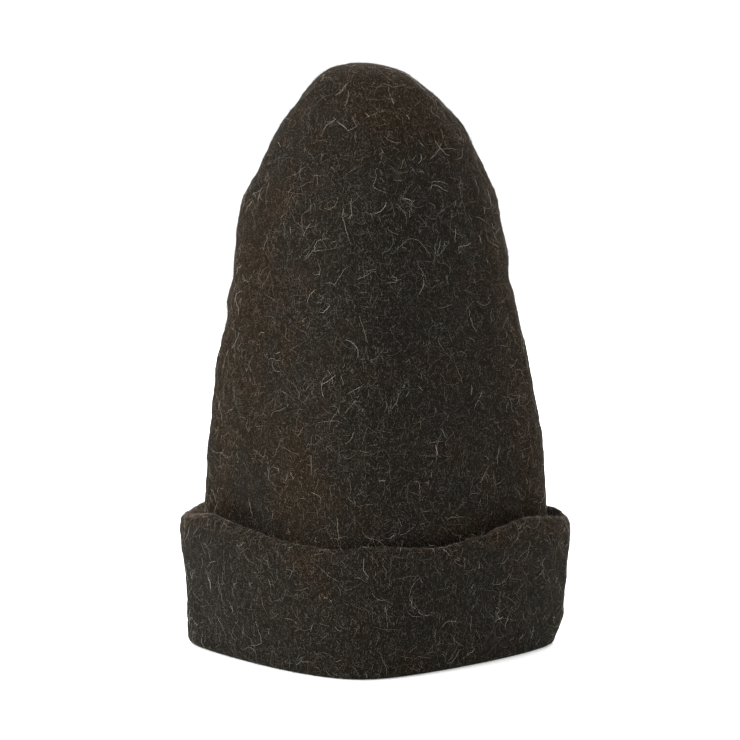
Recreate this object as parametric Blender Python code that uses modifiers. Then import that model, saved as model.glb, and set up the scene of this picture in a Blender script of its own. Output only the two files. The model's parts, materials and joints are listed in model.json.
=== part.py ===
"""Tall one-piece felt hat of the kalpak kind: a rounded crown with its lower edge turned up as a deep cuff.

The whole hat is one sheet of hand-made felt. Its head side runs down the inside of the crown, turns
under at the fold that the hat stands on, and comes up again as the visible outer face of the cuff.
That face is built here as one grid of rows, from the cuff's rim to the crown's tip, and Solidify
gives it the felt's thickness. Sizes in the tables are millimetres; the front is towards -Y, the
wearer's left and right lie along X and the hat stands on Z = 0.
"""

import math

import bmesh
import bpy
import numpy as np

MM = 0.001

HAT_HEIGHT = 347.0
FELT = 3.0

# The rim's two edges are rounded; they are the only ones sharper than this angle
RIM_ROUNDING = 1.1
RIM_ROUNDING_SEGMENTS = 2
RIM_EDGE_ANGLE = 60.0

# The fold under the hat, in section from the cuff inwards: a turn under, a flat land that bears on
# the table, and a turn up into the crown. The shares are of the fold's width.
OUTER_TURN_SHARE = 0.42
LAND_SHARE = 0.20
OUTER_TURN_HEIGHT = 4.8
INNER_TURN_HEIGHT = 4.4

# Softness of the plan's ridges, as a share of its half-width
FRONT_SOFTNESS = 0.20
SIDE_SOFTNESS = 0.10

# Grid of the felt sheet. The columns crowd together at the four ridges.
COLUMNS = 52
RIDGE_CROWDING = 0.5
CUFF_ROWS = 8
TURN_ROWS = 3
CROWN_ROWS = 26

# Outer face of the crown, from its tip down to the fold.
# fullness is the plan's exponent: 2 is an ellipse, and near 1 the four flanks are flat between ridges.
# front_shift moves the front ridge along X, and leaves the sides and the back where they are.
CROWN_COLUMNS = ("height", "half_width", "lean", "half_depth", "set_back", "fullness", "front_shift")
CROWN = (
    (HAT_HEIGHT, 0.0, -8.4, 0.0, 1.0, 2.00, 0.0),
    (345.1, 13.4, -8.2, 11.0, 1.0, 2.00, 0.0),
    (340.9, 24.4, -5.2, 20.4, 1.0, 1.90, 0.0),
    (332.8, 34.5, -4.2, 30.3, 1.0, 1.78, 0.0),
    (319.8, 46.2, -2.5, 41.8, 1.6, 1.66, 0.0),
    (303.0, 57.9, -1.3, 52.8, 2.1, 1.56, 0.0),
    (284.2, 67.5, -1.5, 62.7, 2.6, 1.48, 0.0),
    (266.0, 75.7, -2.3, 70.0, 2.6, 1.42, -1.0),
    (250.8, 78.2, -2.3, 73.7, 2.1, 1.38, -2.1),
    (232.0, 81.3, -0.8, 76.8, 1.6, 1.35, -2.5),
    (218.4, 82.5, -1.3, 79.4, 1.6, 1.32, -3.4),
    (212.1, 84.9, -1.5, 80.5, 1.6, 1.31, -3.6),
    (195.4, 87.2, -0.8, 83.1, 1.6, 1.29, -4.4),
    (177.6, 91.3, -0.6, 85.7, 1.6, 1.27, -5.2),
    (147.3, 96.3, 0.3, 89.3, 1.0, 1.24, -6.2),
    (117.0, 99.9, 1.0, 92.5, 0.5, 1.21, -6.8),
    (86.7, 102.2, 1.0, 94.6, 0.0, 1.19, -7.2),
    (47.0, 103.0, 0.6, 95.4, 0.0, 1.16, -7.4),
    (8.4, 102.6, 0.0, 95.1, 0.0, 1.14, -7.4),
)

# Outer face of the cuff, by its share of the height from the fold's shoulder to the rim
CUFF_COLUMNS = ("share", "half_width", "lean", "half_depth", "set_back", "fullness", "front_shift")
CUFF = (
    (0.00, 110.6, -1.2, 103.2, 0.0, 1.17, -6.2),
    (0.14, 112.3, 0.5, 104.4, 0.0, 1.20, -6.8),
    (0.40, 114.1, 1.2, 106.0, 0.0, 1.23, -6.8),
    (0.65, 115.2, 1.1, 106.4, 0.0, 1.25, -7.0),
    (0.84, 116.8, 1.0, 106.6, 0.0, 1.26, -6.8),
    (0.94, 116.8, 0.8, 106.2, 0.0, 1.27, -6.5),
    (1.00, 116.0, 0.5, 105.1, 0.0, 1.27, -6.3),
)

# Height of the hand-turned rim round the hat, by angle in degrees: 0 is +X and -90 is the front
RIM_COLUMNS = ("angle", "height")
RIM = (
    (-180.0, 78.6),
    (-166.0, 82.2),
    (-150.0, 82.6),
    (-135.0, 79.3),
    (-118.0, 75.9),
    (-100.0, 73.9),
    (-87.0, 76.4),
    (-69.0, 72.6),
    (-53.0, 74.9),
    (-43.0, 77.8),
    (-30.0, 82.4),
    (-16.0, 80.7),
    (0.0, 76.8),
    (7.0, 80.0),
    (14.0, 79.7),
    (42.0, 78.4),
    (66.0, 80.7),
    (95.0, 78.4),
    (125.0, 80.3),
    (150.0, 80.0),
    (167.0, 81.8),
)

# Shallow dents pressed into the crown by hand, and swellings where the depth is below 0
DENT_COLUMNS = ("angle", "height", "depth", "spread_angle", "spread_height")
DENTS = (
    (-148.0, 80.0, 6.0, 16.0, 11.0),
    (-32.0, 96.0, 1.6, 20.0, 13.0),
    (180.0, 280.0, 1.8, 22.0, 10.0),
    (180.0, 229.0, -1.2, 22.0, 9.0),
    (0.0, 312.0, -1.5, 24.0, 9.0),
    (0.0, 205.0, 0.8, 18.0, 12.0),
    (0.0, 130.0, -1.3, 18.0, 20.0),
    (-128.0, 156.8, 1.3, 24.0, 62.7),
    (-48.0, 193.3, 1.7, 22.0, 57.5),
    (-95.0, 109.7, -1.0, 26.0, 41.8),
    (48.0, 135.8, 1.9, 26.0, 57.5),
    (133.0, 209.0, 1.7, 24.0, 52.2),
    (-135.0, 269.6, 1.0, 26.0, 25.1),
    (-40.0, 273.8, 1.0, 26.0, 25.1),
)

FELT_COLOUR = (0.034, 0.029, 0.023, 1.0)
FELT_ROUGHNESS = 0.95


def clear_scene():
    """Empties the file of whatever it opened with."""
    for thing in list(bpy.data.objects):
        bpy.data.objects.remove(thing)


def columns(table, names):
    """The table's columns by name, each ordered from the table's last row to its first."""
    return {name: np.array([row[i] for row in table])[::-1] for i, name in enumerate(names)}


def smooth(knots, values, at):
    """A curve through the knots: each piece is a cubic that meets its neighbours with the same slope."""
    slopes = np.gradient(values, knots)
    piece = np.clip(np.searchsorted(knots, at, side="right") - 1, 0, len(knots) - 2)
    length = knots[piece + 1] - knots[piece]
    t = (at - knots[piece]) / length
    start = (1 + 2 * t) * (1 - t) ** 2 * values[piece] + t * (1 - t) ** 2 * length * slopes[piece]
    end = t**2 * (3 - 2 * t) * values[piece + 1] + t**2 * (t - 1) * length * slopes[piece + 1]
    return start + end


def rim_height(angles):
    """The rim's height at each angle, on a smooth curve that closes on itself after a full turn."""
    rim = columns(RIM[::-1], RIM_COLUMNS)
    knots = np.concatenate([rim["angle"] - 360, rim["angle"], rim["angle"] + 360])
    return smooth(knots, np.tile(rim["height"], 3), (np.degrees(angles) + 180) % 360 - 180)


def outline(angles, row):
    """X and Y of the hat's plan for a row of either table: a superellipse with softened ridges."""
    power = row["fullness"]
    across, along = np.cos(angles), np.sin(angles)

    def reach(x, y):
        soft_x = (x**2 + FRONT_SOFTNESS**2) ** (power / 2)
        soft_y = (y**2 + SIDE_SOFTNESS**2) ** (power / 2)
        return (soft_x + soft_y) ** (-1 / power)

    size = reach(across, along)
    to_front = np.maximum(-along, 0) ** 2
    x = row["half_width"] * across * size / reach(1.0, 0.0)
    y = row["half_depth"] * along * size / reach(0.0, 1.0)
    return row["lean"] + row["front_shift"] * to_front + x, row["set_back"] + y


def dented(angles, heights):
    """How far the dents press the crown in at each point, in millimetres."""
    total = np.zeros(np.broadcast(angles, heights).shape)
    for values in DENTS:
        dent = dict(zip(DENT_COLUMNS, values))
        around = ((np.degrees(angles) - dent["angle"] + 180) % 360 - 180) / dent["spread_angle"]
        rise = (heights - dent["height"]) / dent["spread_height"]
        total += dent["depth"] * np.exp(-(around**2) - rise**2)
    return total


def crown_outside(angles):
    """Outer face of the crown, as rows from the fold up to the tip, evenly spaced along the profile."""
    crown = columns(CROWN, CROWN_COLUMNS)
    steps = np.hypot(np.diff(crown["height"]), np.diff(crown["half_width"]))
    along = np.concatenate([[0], np.cumsum(steps)])
    at = np.linspace(0, along[-1], CROWN_ROWS + 1)
    row = {name: smooth(along, crown[name], at)[:, None] for name in CROWN_COLUMNS}
    pressed = dented(angles, row["height"])
    pressed[-1] = row["half_width"][-1] = row["half_depth"][-1] = 0
    row["half_width"] = row["half_width"] - pressed
    row["half_depth"] = row["half_depth"] - pressed
    x, y = outline(angles, row)
    return np.stack([x, y, row["height"] + 0 * x], axis=-1)


def outward(points):
    """Unit normals of a grid of points that closes round its columns: its two edge directions crossed."""
    up = np.gradient(points, axis=0)
    turned = np.roll(points, -1, axis=1) - np.roll(points, 1, axis=1)
    normals = np.cross(turned, up)
    normals[-1] = (0, 0, 1)
    return normals / np.linalg.norm(normals, axis=-1, keepdims=True)


def crown_inside(angles):
    """Head side of the crown: its outer face moved in by the felt's thickness."""
    outside = crown_outside(angles)
    return outside - FELT * outward(outside)


def cuff_outside(angles):
    """Visible face of the cuff, as rows from the fold's shoulder up to the rim."""
    cuff = columns(CUFF[::-1], CUFF_COLUMNS)
    shares = np.linspace(0, 1, CUFF_ROWS + 1)
    row = {name: smooth(cuff["share"], cuff[name], shares)[:, None] for name in CUFF_COLUMNS}
    x, y = outline(angles, row)
    heights = OUTER_TURN_HEIGHT + shares[:, None] * (rim_height(angles) - OUTER_TURN_HEIGHT)
    return np.stack([x, y, heights], axis=-1)


def fold(shoulder, crown_foot):
    """Underside of the fold, from the cuff's shoulder to the foot of the crown: two turns and the land."""
    quarter = np.linspace(0, math.pi / 2, TURN_ROWS + 1)
    outer_share = OUTER_TURN_SHARE * (1 - np.cos(quarter))
    outer_height = OUTER_TURN_HEIGHT * (1 - np.sin(quarter))
    inner_start = OUTER_TURN_SHARE + LAND_SHARE
    inner_share = inner_start + (1 - inner_start) * np.sin(quarter)
    inner_height = INNER_TURN_HEIGHT * (1 - np.cos(quarter))
    shares = np.concatenate([outer_share[1:], inner_share])[:, None, None]
    heights = np.concatenate([outer_height[1:], inner_height])
    rows = shoulder + shares * (crown_foot - shoulder)
    rows[:, :, 2] = heights[:, None]
    return rows


def head_side(angles):
    """The felt's whole head-side face, from the rim over the cuff and the fold to the inside of the tip."""
    cuff, crown = cuff_outside(angles), crown_inside(angles)
    return np.concatenate([cuff[::-1], fold(cuff[0], crown[0]), crown[1:]])


def centred(points):
    """The same points with the hat's box centred over the origin."""
    low, high = points.min(axis=(0, 1)), points.max(axis=(0, 1))
    return points - np.array([(low[0] + high[0]) / 2, (low[1] + high[1]) / 2, 0])


def sheet_mesh(name, points):
    """A mesh of the grid, closed round its columns, with its last row drawn to one point."""
    last = len(points) - 1
    mesh = bpy.data.meshes.new(name)
    bm = bmesh.new()
    rows = [[bm.verts.new(p) for p in row] for row in points[:last]]
    tip = bm.verts.new(points[last].mean(axis=0))
    for upper, lower in zip(rows, rows[1:]):
        for j in range(COLUMNS):
            k = (j + 1) % COLUMNS
            bm.faces.new((upper[j], lower[j], lower[k], upper[k]))
    for j in range(COLUMNS):
        bm.faces.new((rows[-1][j], tip, rows[-1][(j + 1) % COLUMNS]))
    bm.to_mesh(mesh)
    bm.free()
    return mesh


def felt_material():
    """Dark undyed wool felt, matt and uneven."""
    material = bpy.data.materials.new("dark_wool_felt")
    material.use_nodes = True
    shader = material.node_tree.nodes["Principled BSDF"]
    shader.inputs["Base Color"].default_value = FELT_COLOUR
    shader.inputs["Roughness"].default_value = FELT_ROUGHNESS
    shader.inputs["Metallic"].default_value = 0.0
    return material


def make_hat(collection):
    """The hat: one felt sheet, thickened away from its head side, with a rounded rim."""
    turn = np.linspace(0, 2 * math.pi, COLUMNS, endpoint=False)
    angles = turn - RIDGE_CROWDING * np.sin(4 * turn) / 4
    mesh = sheet_mesh("felt_hat", centred(head_side(angles)) * MM)
    hat = bpy.data.objects.new("felt_hat", mesh)
    collection.objects.link(hat)

    wall = hat.modifiers.new("felt_thickness", "SOLIDIFY")
    wall.thickness = FELT * MM
    wall.offset = -1.0
    wall.use_even_offset = True

    rounding = hat.modifiers.new("soft_rim", "BEVEL")
    rounding.width = RIM_ROUNDING * MM
    rounding.segments = RIM_ROUNDING_SEGMENTS
    rounding.limit_method = "ANGLE"
    rounding.angle_limit = math.radians(RIM_EDGE_ANGLE)

    mesh.shade_smooth()
    mesh.materials.append(felt_material())
    return hat


def main():
    clear_scene()
    collection = bpy.data.collections.new("kalpak_felt_hat")
    bpy.context.scene.collection.children.link(collection)
    make_hat(collection)


main()
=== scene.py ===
# %% [markdown]
# # A kalpak felt hat
#
# The hat is one sheet of hand-made wool felt. It has a tall crown that ends in a soft round top,
# and its lower edge is turned up as a deep cuff. Nothing is sewn, lined or trimmed.
#
# Felt is made by rubbing wet wool until its hairs lock into each other. That leaves three things
# for the eye: a form that is soft and slightly uneven, a matt colour that changes from patch to
# patch because the dark fleece was never dyed, and thousands of curly hairs that came loose.
# The hat is built here in the same order: the form, the felt's own surface, then the loose hairs.

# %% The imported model
import json
import math

import bpy
import numpy as np
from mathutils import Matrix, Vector

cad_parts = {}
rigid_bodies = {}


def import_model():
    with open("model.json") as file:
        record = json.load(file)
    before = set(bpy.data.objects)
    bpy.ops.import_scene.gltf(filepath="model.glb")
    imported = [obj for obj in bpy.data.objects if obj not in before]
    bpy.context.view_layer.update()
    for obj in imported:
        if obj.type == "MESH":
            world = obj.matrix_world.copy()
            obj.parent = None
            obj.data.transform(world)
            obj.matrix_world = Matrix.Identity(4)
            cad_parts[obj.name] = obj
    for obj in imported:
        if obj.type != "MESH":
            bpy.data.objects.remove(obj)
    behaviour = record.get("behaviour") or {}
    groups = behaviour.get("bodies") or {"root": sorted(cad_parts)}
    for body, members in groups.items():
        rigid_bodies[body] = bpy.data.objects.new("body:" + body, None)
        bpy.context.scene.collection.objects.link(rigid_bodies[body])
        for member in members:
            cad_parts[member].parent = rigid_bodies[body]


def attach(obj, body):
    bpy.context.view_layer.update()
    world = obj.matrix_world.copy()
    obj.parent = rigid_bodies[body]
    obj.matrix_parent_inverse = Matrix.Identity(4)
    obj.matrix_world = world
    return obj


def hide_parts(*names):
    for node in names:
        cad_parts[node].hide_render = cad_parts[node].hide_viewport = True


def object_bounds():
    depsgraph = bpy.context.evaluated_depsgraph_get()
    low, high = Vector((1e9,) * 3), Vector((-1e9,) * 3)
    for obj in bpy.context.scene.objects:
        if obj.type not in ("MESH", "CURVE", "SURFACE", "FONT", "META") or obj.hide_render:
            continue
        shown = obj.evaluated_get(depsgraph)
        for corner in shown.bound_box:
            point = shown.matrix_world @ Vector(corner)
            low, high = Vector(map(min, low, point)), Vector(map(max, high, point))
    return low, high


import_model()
cad_low, cad_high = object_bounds()
print("CAD box, mm:", [round((b - a) * 1000, 1) for a, b in zip(cad_low, cad_high)])

MM = 0.001


# %% [markdown]
# ## The form
#
# A hat that is blocked by hand has no straight line in it, so its profile is written down as a short
# table of sections, each at a height, and a smooth curve runs through them. Each section's plan is a
# soft diamond: the hat was folded flat both ways while it dried, which left a ridge at the front, at
# the back and at each side. A superellipse gives such a plan with one number, its fullness, which is
# 2 for an ellipse and near 1 for flat flanks between ridges.
#
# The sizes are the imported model's, in millimetres. Here the grid is far finer than the model's,
# because the felt's small lumps and the hairs need it.

# %% Tables of the form
HAT_HEIGHT = 347.0
FELT = 3.0
FRONT_SOFTNESS = 0.20
SIDE_SOFTNESS = 0.10

CROWN_COLUMNS = ("height", "half_width", "lean", "half_depth", "set_back", "fullness", "front_shift")
CROWN = (
    (HAT_HEIGHT, 0.0, -8.4, 0.0, 1.0, 2.00, 0.0),
    (345.1, 13.4, -8.2, 11.0, 1.0, 2.00, 0.0),
    (340.9, 24.4, -5.2, 20.4, 1.0, 1.90, 0.0),
    (332.8, 34.5, -4.2, 30.3, 1.0, 1.78, 0.0),
    (319.8, 46.2, -2.5, 41.8, 1.6, 1.66, 0.0),
    (303.0, 57.9, -1.3, 52.8, 2.1, 1.56, 0.0),
    (284.2, 67.5, -1.5, 62.7, 2.6, 1.48, 0.0),
    (266.0, 75.7, -2.3, 70.0, 2.6, 1.42, -1.0),
    (250.8, 78.2, -2.3, 73.7, 2.1, 1.38, -2.1),
    (232.0, 81.3, -0.8, 76.8, 1.6, 1.35, -2.5),
    (218.4, 82.5, -1.3, 79.4, 1.6, 1.32, -3.4),
    (212.1, 84.9, -1.5, 80.5, 1.6, 1.31, -3.6),
    (195.4, 87.2, -0.8, 83.1, 1.6, 1.29, -4.4),
    (177.6, 91.3, -0.6, 85.7, 1.6, 1.27, -5.2),
    (147.3, 96.3, 0.3, 89.3, 1.0, 1.24, -6.2),
    (117.0, 99.9, 1.0, 92.5, 0.5, 1.21, -6.8),
    (86.7, 102.2, 1.0, 94.6, 0.0, 1.19, -7.2),
    (47.0, 103.0, 0.6, 95.4, 0.0, 1.16, -7.4),
    (8.4, 102.6, 0.0, 95.1, 0.0, 1.14, -7.4),
)

CUFF_COLUMNS = ("share", "half_width", "lean", "half_depth", "set_back", "fullness", "front_shift")
CUFF = (
    (0.00, 110.6, -1.2, 103.2, 0.0, 1.17, -6.2),
    (0.14, 112.3, 0.5, 104.4, 0.0, 1.20, -6.8),
    (0.40, 114.1, 1.2, 106.0, 0.0, 1.23, -6.8),
    (0.65, 115.2, 1.1, 106.4, 0.0, 1.25, -7.0),
    (0.84, 116.8, 1.0, 106.6, 0.0, 1.26, -6.8),
    (0.94, 116.8, 0.8, 106.2, 0.0, 1.27, -6.5),
    (1.00, 116.0, 0.5, 105.1, 0.0, 1.27, -6.3),
)

# Height of the rim round the hat: 0 degrees is +X and -90 is the front
RIM_COLUMNS = ("angle", "height")
RIM = (
    (-180, 78.6),
    (-166, 82.2),
    (-150, 82.6),
    (-135, 79.3),
    (-118, 75.9),
    (-100, 73.9),
    (-87, 76.4),
    (-69, 72.6),
    (-53, 74.9),
    (-43, 77.8),
    (-30, 82.4),
    (-16, 80.7),
    (0, 76.8),
    (7, 80.0),
    (14, 79.7),
    (42, 78.4),
    (66, 80.7),
    (95, 78.4),
    (125, 80.3),
    (150, 80.0),
    (167, 81.8),
)

# Shallow dents in the crown, and swellings where the depth is below 0
DENT_COLUMNS = ("angle", "height", "depth", "spread_angle", "spread_height")
DENTS = (
    (-148, 80.0, 6.0, 16, 11.0),
    (-32, 96.0, 1.6, 20, 13.0),
    (180, 280.0, 1.8, 22, 10.0),
    (180, 229.0, -1.2, 22, 9.0),
    (0, 312.0, -1.5, 24, 9.0),
    (0, 205.0, 0.8, 18, 12.0),
    (0, 130.0, -1.3, 18, 20.0),
    (-128, 156.8, 1.3, 24, 62.7),
    (-48, 193.3, 1.7, 22, 57.5),
    (-95, 109.7, -1.0, 26, 41.8),
    (48, 135.8, 1.9, 26, 57.5),
    (133, 209.0, 1.7, 24, 52.2),
    (-135, 269.6, 1.0, 26, 25.1),
    (-40, 273.8, 1.0, 26, 25.1),
)
print("sections: crown", len(CROWN), "cuff", len(CUFF), "rim", len(RIM), "dents", len(DENTS))


# %% Curves through a table
def columns(table, names):
    """The table's columns by name, as arrays in the table's own order."""
    return {name: np.array([row[i] for row in table]) for i, name in enumerate(names)}


def smooth(knots, values, at):
    """A curve through the knots. With t running from 0 to 1 over a piece, it is the cubic that has
    the knots' values and slopes at both ends, so that neighbouring pieces meet without a kink."""
    slopes = np.gradient(values, knots)
    piece = np.clip(np.searchsorted(knots, at, side="right") - 1, 0, len(knots) - 2)
    length = knots[piece + 1] - knots[piece]
    t = (at - knots[piece]) / length
    start = (1 + 2 * t) * (1 - t) ** 2 * values[piece] + t * (1 - t) ** 2 * length * slopes[piece]
    end = t**2 * (3 - 2 * t) * values[piece + 1] + t**2 * (t - 1) * length * slopes[piece + 1]
    return start + end


def turned(angles, middle):
    """Signed turn from a middle angle to each angle, in degrees between -180 and 180."""
    return (np.degrees(angles) - middle + 180) % 360 - 180


def rim_height(angles):
    """The rim's height at each angle, on a smooth curve that closes on itself after a full turn."""
    rim = columns(RIM, RIM_COLUMNS)
    knots = np.concatenate([rim["angle"] - 360, rim["angle"], rim["angle"] + 360])
    return smooth(knots, np.tile(rim["height"], 3), turned(angles, 0))


def outline(angles, row):
    """X and Y of a plan: a superellipse, the points where |x/a|^n + |y/b|^n = 1, with each |x| made
    sqrt(x^2 + softness^2) so that its ridges are rounded. A point that faces the front at an angle t
    also moves sideways by front_shift * sin(t)^2."""
    power = row["fullness"]
    across, along = np.cos(angles), np.sin(angles)

    def reach(x, y):
        """How far a plan 1 wide and 1 deep reaches along (x, y): (|x|^n + |y|^n)^(-1/n)."""
        soft_x = (x**2 + FRONT_SOFTNESS**2) ** (power / 2)
        soft_y = (y**2 + SIDE_SOFTNESS**2) ** (power / 2)
        return (soft_x + soft_y) ** (-1 / power)

    size = reach(across, along)
    to_front = np.maximum(-along, 0) ** 2
    x = row["half_width"] * across * size / reach(1.0, 0.0)
    y = row["half_depth"] * along * size / reach(0.0, 1.0)
    return row["lean"] + row["front_shift"] * to_front + x, row["set_back"] + y


print("rim height at the front, mm:", round(float(rim_height(np.array([-math.pi / 2]))[0]), 1))

# %% [markdown]
# ## One closed grid
#
# The felt is one sheet, so its whole surface can be one grid. The rows start at the tip, run down the
# outside of the crown into the valley behind the cuff, up the cuff's hidden face, over the rim, down
# the face that shows, under the fold that the hat stands on, and up the inside of the crown to the
# tip again. The columns go once round the hat. Two parameters, a row and a column, then name any
# place on the felt, which is also how the loose hairs will find their way over it.

# %% Rows of the grid
COLUMNS = 320
CROWN_ROWS = 112
VALLEY_ROWS = 4
CUFF_BACK_ROWS = 10
RIM_ROWS = 9
CUFF_ROWS = 30
TURN_ROWS = 5
INSIDE_ROWS = 24

# sizes in mm, angles in degrees
RIM_THICKNESS = 4.0
RIM_ROUNDNESS = 2.3
# the felt swells to the rim's thickness with the cuff's height, as a share raised to this power
SWELL_POWER = 4
VALLEY_DEPTH = 2.0
# Where the crown's side leans against the cuff, the two felts meet and the rim looks thicker
LEAN_ANGLE = 180.0
LEAN_THICKNESS = 8.0
LEAN_SPREAD = 20.0
# parts of the way under the fold, from the cuff to the head side
OUTER_TURN_SHARE = 0.42
LAND_SHARE = 0.20
OUTER_TURN_HEIGHT = 4.8
INNER_TURN_HEIGHT = 4.4

# the columns crowd together at the plan's four corners: the front, the back and both sides
CORNERS = 4
CROWDING = 0.25
turn = np.linspace(0, 2 * math.pi, COLUMNS, endpoint=False)
angles = turn - CROWDING * np.sin(CORNERS * turn) / CORNERS
# nothing is divided by a length, or by a cell's area squared, below these, in mm and mm4
SHORTEST = 1e-9
SMALLEST_CELL = 1e-6


def dented(heights):
    """How far the dents press in: a sum of bells, depth * exp(-(turn/spread)^2 - (rise/spread)^2)."""
    total = np.zeros(np.broadcast(angles, heights).shape)
    for values in DENTS:
        dent = dict(zip(DENT_COLUMNS, values))
        around = turned(angles, dent["angle"]) / dent["spread_angle"]
        rise = (heights - dent["height"]) / dent["spread_height"]
        total += dent["depth"] * np.exp(-(around**2) - rise**2)
    return total


def crown_rows(count):
    """Outer face of the crown, from its tip to its foot. Its rows are evenly spaced along the profile,
    and each point's radii are the row's own less the dent there."""
    crown = columns(CROWN, CROWN_COLUMNS)
    steps = np.hypot(np.diff(crown["height"]), np.diff(crown["half_width"]))
    along = np.concatenate([[0], np.cumsum(steps)])
    at = np.linspace(0, along[-1], count + 1)
    row = {name: smooth(along, crown[name], at)[:, None] for name in CROWN_COLUMNS}
    pressed = dented(row["height"])
    pressed[0] = 0
    row["half_width"] = row["half_width"] - pressed
    row["half_depth"] = row["half_depth"] - pressed
    x, y = outline(angles, row)
    points = np.stack([x, y, row["height"] + 0 * x], axis=-1)
    points[0] = points[0].mean(axis=0)
    return points


def cuff_rows(count):
    """Visible face of the cuff. Its rows lie at even shares of the way from the fold's shoulder to
    the rim, which is higher at some angles than at others."""
    cuff = columns(CUFF, CUFF_COLUMNS)
    shares = np.linspace(0, 1, count + 1)
    row = {name: smooth(cuff["share"], cuff[name], shares)[:, None] for name in CUFF_COLUMNS}
    x, y = outline(angles, row)
    heights = OUTER_TURN_HEIGHT + shares[:, None] * (rim_height(angles) - OUTER_TURN_HEIGHT)
    return np.stack([x, y, heights], axis=-1)


def unit(vectors):
    """The same vectors with length 1."""
    return vectors / np.maximum(np.linalg.norm(vectors, axis=-1, keepdims=True), SHORTEST)


def grid_normals(points):
    """Unit normals of a grid whose rows run from the outer tip: the two edge directions, crossed. The
    first and the last row are each one point, so they point straight up and straight down."""
    down = np.gradient(points, axis=0)
    around = np.roll(points, -1, axis=1) - np.roll(points, 1, axis=1)
    normals = unit(np.cross(down, around))
    normals[0] = (0, 0, 1)
    normals[-1] = (0, 0, -1)
    return normals


crown = crown_rows(CROWN_ROWS)
cuff = cuff_rows(CUFF_ROWS)
print("crown grid", crown.shape[:2], "cuff grid", cuff.shape[:2])


# %% Rim, valley, fold and inside
def rim_and_back(cuff):
    """The cuff's hidden face, one thickness behind the visible one, and the rim: half an ellipse as
    wide as the felt is thick there, from the hidden face over to the visible one."""
    faced = np.cross(np.roll(cuff, -1, axis=1) - np.roll(cuff, 1, axis=1), np.gradient(cuff, axis=0))
    faced[..., 2] = 0
    faced = faced / np.linalg.norm(faced, axis=-1, keepdims=True)
    lean = np.exp(-((turned(angles, LEAN_ANGLE) / LEAN_SPREAD) ** 2))[:, None]
    thickness = RIM_THICKNESS + LEAN_THICKNESS * lean
    shares = np.linspace(0, 1, CUFF_BACK_ROWS + 1)
    picked = np.rint(shares * CUFF_ROWS).astype(int)
    middle = cuff[-1] - thickness / 2 * faced[-1]
    middle[:, 2] -= RIM_ROUNDNESS
    arc = np.linspace(math.pi, 0, RIM_ROWS + 1)[:, None, None]
    across, over = thickness / 2 * faced[-1], RIM_ROUNDNESS * np.array([0.0, 0.0, 1.0])
    rim = middle + np.cos(arc) * across + np.sin(arc) * over
    swell = (shares**SWELL_POWER)[:, None, None]
    back = cuff[picked] - (FELT + swell * (thickness - FELT)) * faced[picked]
    back[..., 2] = np.minimum(back[..., 2], rim[0][None, :, 2])
    return back[:-1], rim


def valley(crown_foot, cuff_foot):
    """The bottom of the gap between crown and cuff: a sagging line, lowest halfway."""
    share = np.linspace(0, 1, VALLEY_ROWS + 2)[1:-1, None, None]
    rows = crown_foot + share * (cuff_foot - crown_foot)
    rows[..., 2] -= VALLEY_DEPTH * np.sin(math.pi * share[..., 0])
    return rows


def fold(shoulder, crown_foot):
    """Underside of the fold: a quarter-ellipse turn under, a flat land on the table, a turn up."""
    quarter = np.linspace(0, math.pi / 2, TURN_ROWS + 1)
    outer_share = OUTER_TURN_SHARE * (1 - np.cos(quarter))
    outer_height = OUTER_TURN_HEIGHT * (1 - np.sin(quarter))
    inner_start = OUTER_TURN_SHARE + LAND_SHARE
    inner_share = inner_start + (1 - inner_start) * np.sin(quarter)
    inner_height = INNER_TURN_HEIGHT * (1 - np.cos(quarter))
    shares = np.concatenate([outer_share[1:], inner_share])[:, None, None]
    rows = shoulder + shares * (crown_foot - shoulder)
    rows[:, :, 2] = np.concatenate([outer_height[1:], inner_height])[:, None]
    return rows


def crown_inside(count):
    """Head side of the crown, from its foot to its tip: the outer face moved in by the felt."""
    outside = crown_rows(count)
    down = np.gradient(outside, axis=0)
    around = np.roll(outside, -1, axis=1) - np.roll(outside, 1, axis=1)
    inside = outside - FELT * unit(np.cross(down, around))
    inside[0] = (outside[0] - (0, 0, FELT)).mean(axis=0)
    return inside[::-1]


cuff_back, rim = rim_and_back(cuff)
inside = crown_inside(INSIDE_ROWS)
rows_of = {
    "crown": crown,
    "valley": valley(crown[-1], cuff_back[0]),
    "cuff_back": cuff_back,
    "rim": rim,
    "cuff": cuff[-2::-1],
    "fold": fold(cuff[0], inside[0]),
    "inside": inside[1:],
}
smooth_form = np.concatenate(list(rows_of.values()))
first_row = dict(zip(rows_of, np.cumsum([0] + [len(rows) for rows in rows_of.values()])))
grid_low, grid_high = smooth_form.min(axis=(0, 1)), smooth_form.max(axis=(0, 1))
cad_middle = (np.array(cad_low) + np.array(cad_high)) / 2 / MM
shift = cad_middle - (grid_low + grid_high) / 2
smooth_form += shift * (1, 1, 0)
print("grid", smooth_form.shape[:2], "first rows", first_row, "shift, mm", shift.round(2))


# %% [markdown]
# ## Lumps
#
# Hand-rubbed felt is never even. A field of lumps can be drawn as a sum of plane waves, each with
# its own random direction and phase: it costs nothing, it has no seam anywhere on the hat, and its
# wavelengths can be chosen in millimetres. The same kind of field later says where the fleece is
# browner. Lumps fade out where the hat stands, so that it still stands flat.

# %% A field of waves
# wavelengths in mm
WAVE_COLUMNS = ("seed", "shortest", "longest", "waves")
WAVES = {
    "broad_lumps": (11, 22.0, 60.0, 24),
    "small_lumps": (12, 6.0, 14.0, 36),
    "brown_patches": (21, 12.0, 40.0, 40),
    "hair_clumps": (22, 7.0, 25.0, 30),
}


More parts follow.
